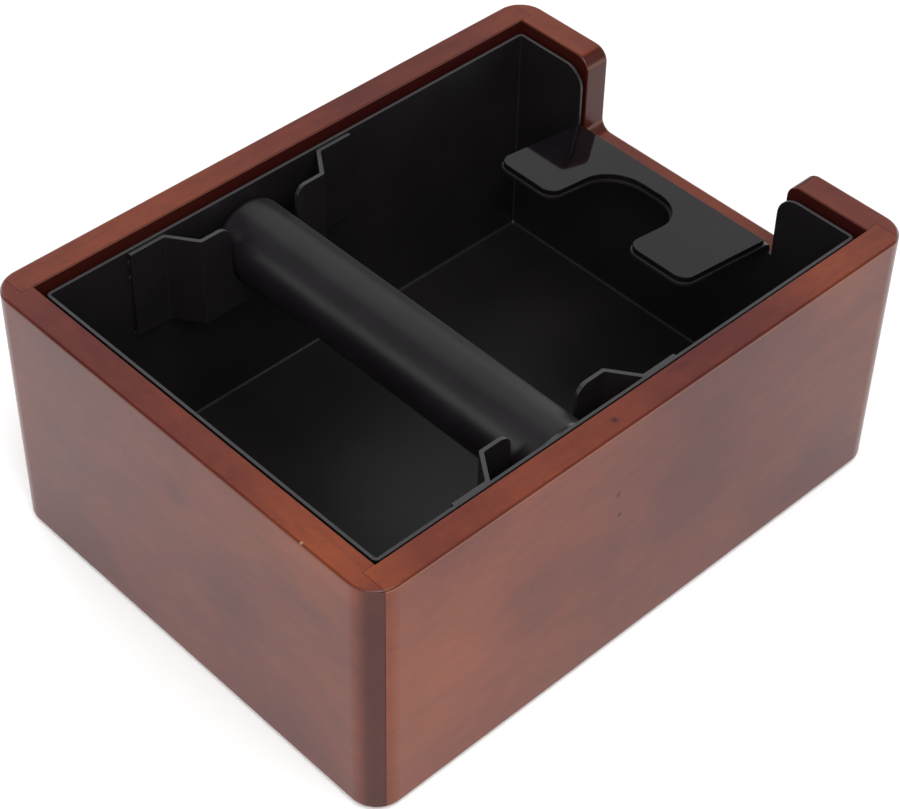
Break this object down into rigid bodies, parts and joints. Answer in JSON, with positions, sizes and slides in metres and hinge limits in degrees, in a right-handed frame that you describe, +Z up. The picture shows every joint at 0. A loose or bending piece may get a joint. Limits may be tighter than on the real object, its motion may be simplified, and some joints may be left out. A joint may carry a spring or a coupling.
{
  "type": "espresso knock box",
  "caption": "Open wooden box with a lift-out black metal tray, a rubber-sleeved knock bar across it in slotted saddles, and a handle notch at one end with a sloping rest inside.",
  "frame": {"origin": "on the table, under the middle of the box, level with the undersides of the feet", "axes": "+X along the knock bar, +Y along the box towards the end with the handle notch, +Z up"},
  "size_m": [0.18, 0.236, 0.1005],
  "materials": {
    "stained_wood": "red-brown stain under a glossy clear varnish",
    "plywood": "bare sanded ply",
    "foot_rubber": "matt black",
    "coated_steel": "satin black powder coat",
    "bar_rubber": "smooth satin black",
    "core_steel": "plain ground rod",
    "mat_plastic": "smooth glossy black"
  },
  "bodies": {
    "case": {"front_wall": "stained_wood", "notch_wall": "stained_wood", "left_wall": "stained_wood", "right_wall": "stained_wood", "base_panel": "plywood", "foot_front_left": "foot_rubber", "foot_front_right": "foot_rubber", "foot_rear_left": "foot_rubber", "foot_rear_right": "foot_rubber"},
    "tray": {"liner_tray": "coated_steel", "left_saddle": "coated_steel", "right_saddle": "coated_steel", "rest_mat": "mat_plastic"},
    "bar": {"bar_core": "core_steel", "bar_plug_left": "bar_rubber", "bar_plug_right": "bar_rubber"},
    "sleeve": {"bar_sleeve": "bar_rubber"}
  },
  "joints": [
    {"name": "tray_lift", "type": "slide", "parent": "case", "child": "tray", "axis": [0, 0, 1], "range_m": [0, 0.1]},
    {"name": "bar_lift", "type": "slide", "parent": "tray", "child": "bar", "axis": [0, 0, 1], "range_m": [0, 0.04]},
    {"name": "bar_roll", "type": "hinge", "parent": "bar", "child": "sleeve", "pos_m": [0, -0.0263, 0.0801], "axis": [1, 0, 0], "continuous": true}
  ]
}
